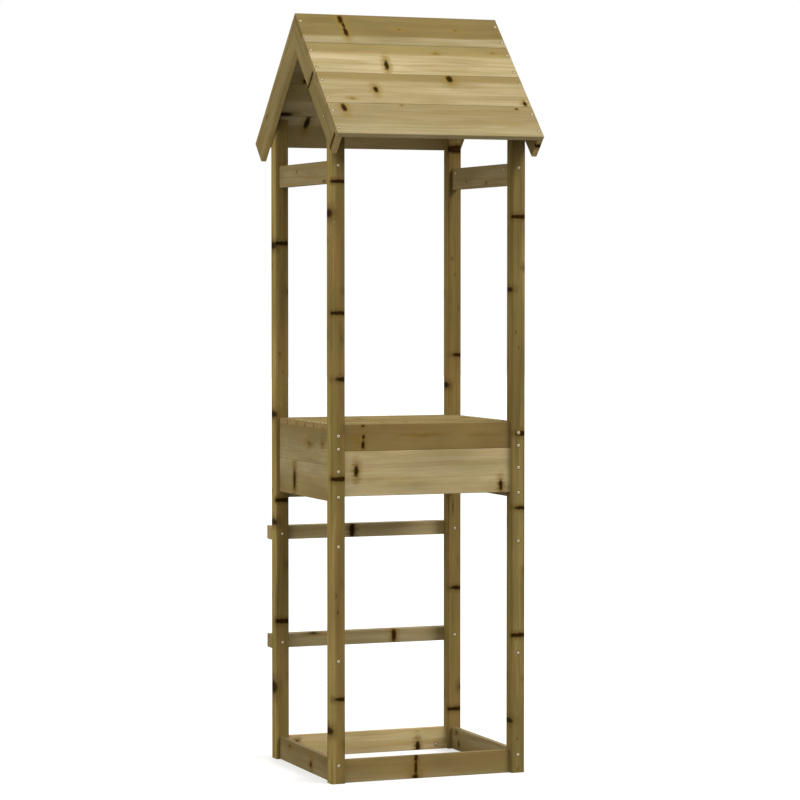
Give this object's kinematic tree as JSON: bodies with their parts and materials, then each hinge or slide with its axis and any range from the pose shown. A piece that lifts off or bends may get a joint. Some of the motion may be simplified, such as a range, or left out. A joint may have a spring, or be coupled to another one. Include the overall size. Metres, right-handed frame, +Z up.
{
  "type": "play tower",
  "caption": "Timber play tower: square posts, ground boards, a boarded platform, climbing rungs at the back, side rails and a gable roof of boards on rafters.",
  "frame": {"origin": "on the ground under the middle of the tower", "axes": "+Z up, front towards -Y, +X from the left posts to the right posts along the ridge"},
  "size_m": [0.553, 0.6358, 1.94],
  "materials": {
    "post_timber": "planed pine, pressure impregnated to olive brown",
    "board_timber": "planed pine boards, pressure impregnated to olive brown",
    "roof_timber": "planed pine boards, pressure impregnated to olive brown",
    "screw_steel": "zinc-plated steel, slightly dull"
  },
  "bodies": {
    "root": {"post_front_left": "post_timber", "post_front_right": "post_timber", "post_back_left": "post_timber", "post_back_right": "post_timber", "base_board_front": "board_timber", "base_board_back": "board_timber", "base_board_left": "board_timber", "base_board_right": "board_timber", "panel_front_lower": "board_timber", "panel_front_upper": "board_timber", "panel_back_lower": "board_timber", "panel_back_middle": "board_timber", "panel_back_upper": "board_timber", "panel_left_lower": "board_timber", "panel_left_upper": "board_timber", "panel_right_lower": "board_timber", "panel_right_upper": "board_timber", "floor_board_1": "board_timber", "floor_board_2": "board_timber", "floor_board_3": "board_timber", "floor_board_4": "board_timber", "floor_board_5": "board_timber", "floor_board_6": "board_timber", "top_rail_left": "board_timber", "top_rail_right": "board_timber", "rung_lower": "board_timber", "rung_upper": "board_timber", "rafter_front_left": "board_timber", "rafter_front_right": "board_timber", "rafter_back_left": "board_timber", "rafter_back_right": "board_timber", "roof_board_front_1": "roof_timber", "roof_board_front_2": "roof_timber", "roof_board_front_3": "roof_timber", "roof_board_front_4": "roof_timber", "roof_board_back_1": "roof_timber", "roof_board_back_2": "roof_timber", "roof_board_back_3": "roof_timber", "roof_board_back_4": "roof_timber"}
  },
  "joints": []
}
